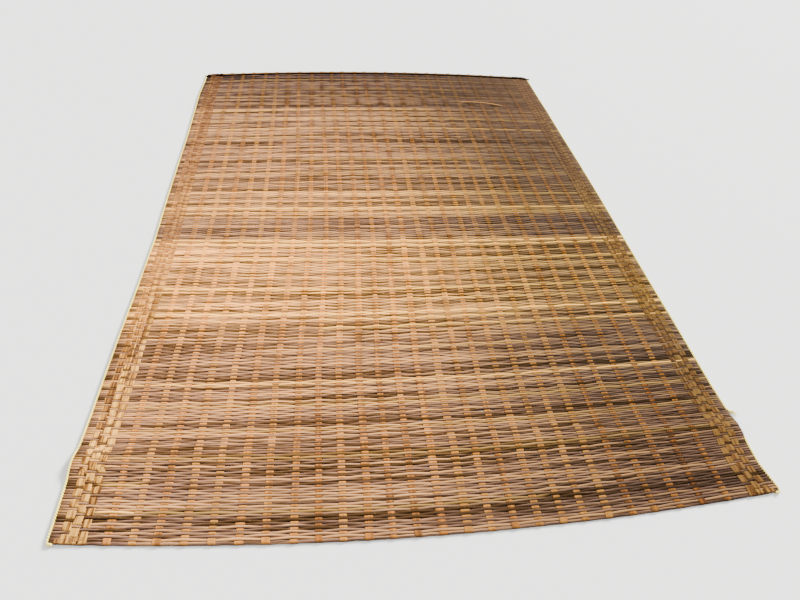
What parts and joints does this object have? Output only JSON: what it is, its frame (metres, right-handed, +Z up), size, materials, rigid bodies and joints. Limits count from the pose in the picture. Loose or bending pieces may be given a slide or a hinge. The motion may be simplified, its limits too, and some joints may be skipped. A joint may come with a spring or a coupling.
{
  "type": "bamboo mat",
  "caption": "Rectangular woven floor mat: thin reeds laid across, held by tan strips woven lengthwise, with close borders, corded sides and a dark stick across one end.",
  "frame": {"origin": "middle of the mat's footprint, on the floor", "axes": "+Z up from the floor, +Y along the mat to the end with the dark stick, +X across the mat to the right"},
  "size_m": [1.8628, 2.79, 0.0192],
  "materials": {
    "reed": "satin",
    "pale_reed": "satin",
    "dark_stick": "satin",
    "field_strip": "satin",
    "border_strip": "satin",
    "side_cord": "matte"
  },
  "bodies": {
    "root": {"reed_field": "reed", "last_reed": "pale_reed", "end_stick": "dark_stick", "field_strip_01": "field_strip", "field_strip_02": "field_strip", "field_strip_03": "field_strip", "field_strip_04": "field_strip", "field_strip_05": "field_strip", "field_strip_06": "field_strip", "field_strip_07": "field_strip", "field_strip_08": "field_strip", "field_strip_09": "field_strip", "field_strip_10": "field_strip", "field_strip_11": "field_strip", "field_strip_12": "field_strip", "field_strip_13": "field_strip", "field_strip_14": "field_strip", "field_strip_15": "field_strip", "field_strip_16": "field_strip", "field_strip_17": "field_strip", "field_strip_18": "field_strip", "field_strip_19": "field_strip", "field_strip_20": "field_strip", "field_strip_21": "field_strip", "field_strip_22": "field_strip", "field_strip_23": "field_strip", "field_strip_24": "field_strip", "field_strip_25": "field_strip", "field_strip_26": "field_strip", "left_border_1": "border_strip", "left_border_2": "border_strip", "left_border_3": "border_strip", "right_border_1": "border_strip", "right_border_2": "border_strip", "right_border_3": "border_strip", "left_cord": "side_cord", "right_cord_far": "side_cord", "right_cord_near": "side_cord"}
  },
  "joints": []
}
